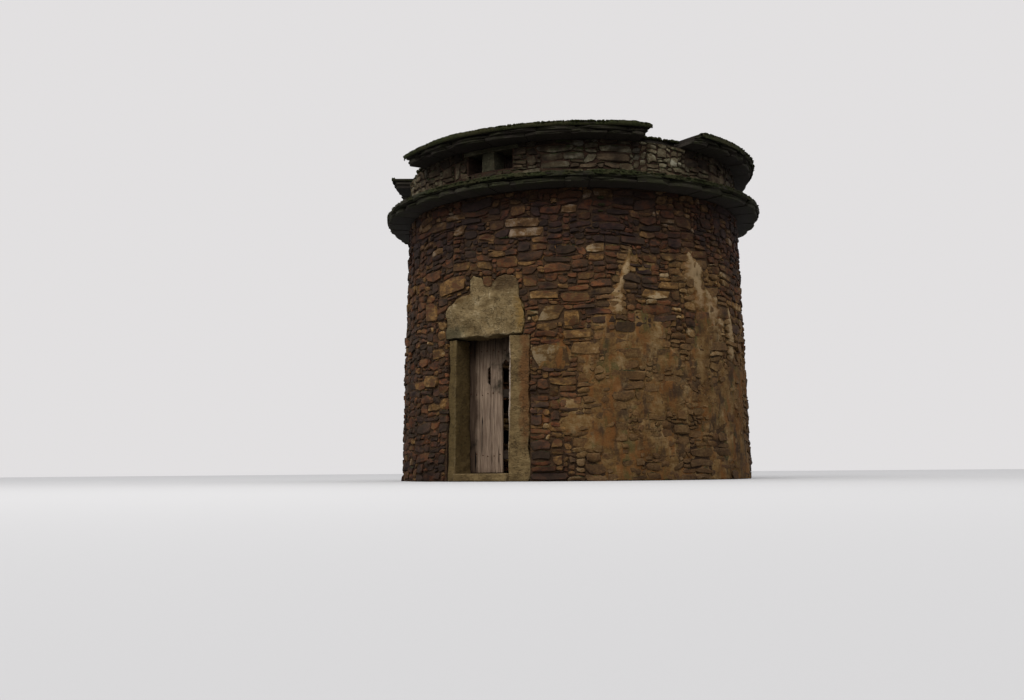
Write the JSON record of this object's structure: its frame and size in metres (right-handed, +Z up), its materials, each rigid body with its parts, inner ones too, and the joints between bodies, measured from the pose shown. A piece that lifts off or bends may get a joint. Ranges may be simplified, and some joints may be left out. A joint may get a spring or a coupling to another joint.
{
  "type": "stone dovecote",
  "caption": "Round roofless rubble-stone dovecote with two projecting slate rings, flight holes over a small plank door that opens inwards, and nest holes inside.",
  "frame": {"origin": "centre of the drum on the ground", "axes": "+Z up, -Y out through the doorway, +X to the right of someone who faces the door"},
  "size_m": [5.38, 5.38, 4.41],
  "materials": {
    "rubble": "matte dark schist rubble in earth mortar",
    "slate": "matte mossy slate slabs",
    "dressed_stone": "matte weathered pale stone",
    "floor_stone": "matte flagstones",
    "old_timber": "weathered grey-brown boards",
    "wrought_iron": "rusted iron"
  },
  "bodies": {
    "tower": {"broken_cornice_stubs": "slate", "door_lintel": "dressed_stone", "door_sill": "dressed_stone", "drum_wall_1": "rubble", "drum_wall_2": "rubble", "drum_wall_3": "rubble", "drum_wall_4": "rubble", "drum_wall_5": "rubble", "drum_wall_6": "rubble", "drum_wall_7": "rubble", "drum_wall_8": "rubble", "drum_wall_9": "rubble", "flight_hole_lintel": "dressed_stone", "flight_hole_mullion": "dressed_stone", "floor": "floor_stone", "hinge_pintles": "wrought_iron", "inner_lintel": "old_timber", "left_jamb_stone": "dressed_stone", "lower_cornice_back": "slate", "lower_cornice_front": "slate", "lower_cornice_left": "slate", "lower_cornice_right": "slate", "right_jamb_stone": "dressed_stone", "upper_cornice_back": "slate", "upper_cornice_front_left": "slate", "upper_cornice_front_right": "slate", "upper_cornice_left": "slate", "upper_cornice_right": "slate", "upper_wall_back": "rubble", "upper_wall_front": "rubble", "upper_wall_left": "rubble", "upper_wall_right": "rubble", "wall_left_of_door": "rubble", "wall_over_door": "rubble", "wall_right_of_door": "rubble"},
    "door": {"door_ledges": "old_timber", "door_plank_1": "old_timber", "door_plank_2": "old_timber", "door_plank_3": "old_timber", "door_plank_4": "old_timber", "door_plank_5": "old_timber", "lock_case": "wrought_iron", "strap_hinges": "wrought_iron"}
  },
  "joints": [
    {"name": "door_hinge", "type": "hinge", "parent": "tower", "child": "door", "pos_m": [-0.452, -1.971, 0.99], "axis": [0, 0, 1], "range_deg": [0, 95]}
  ]
}
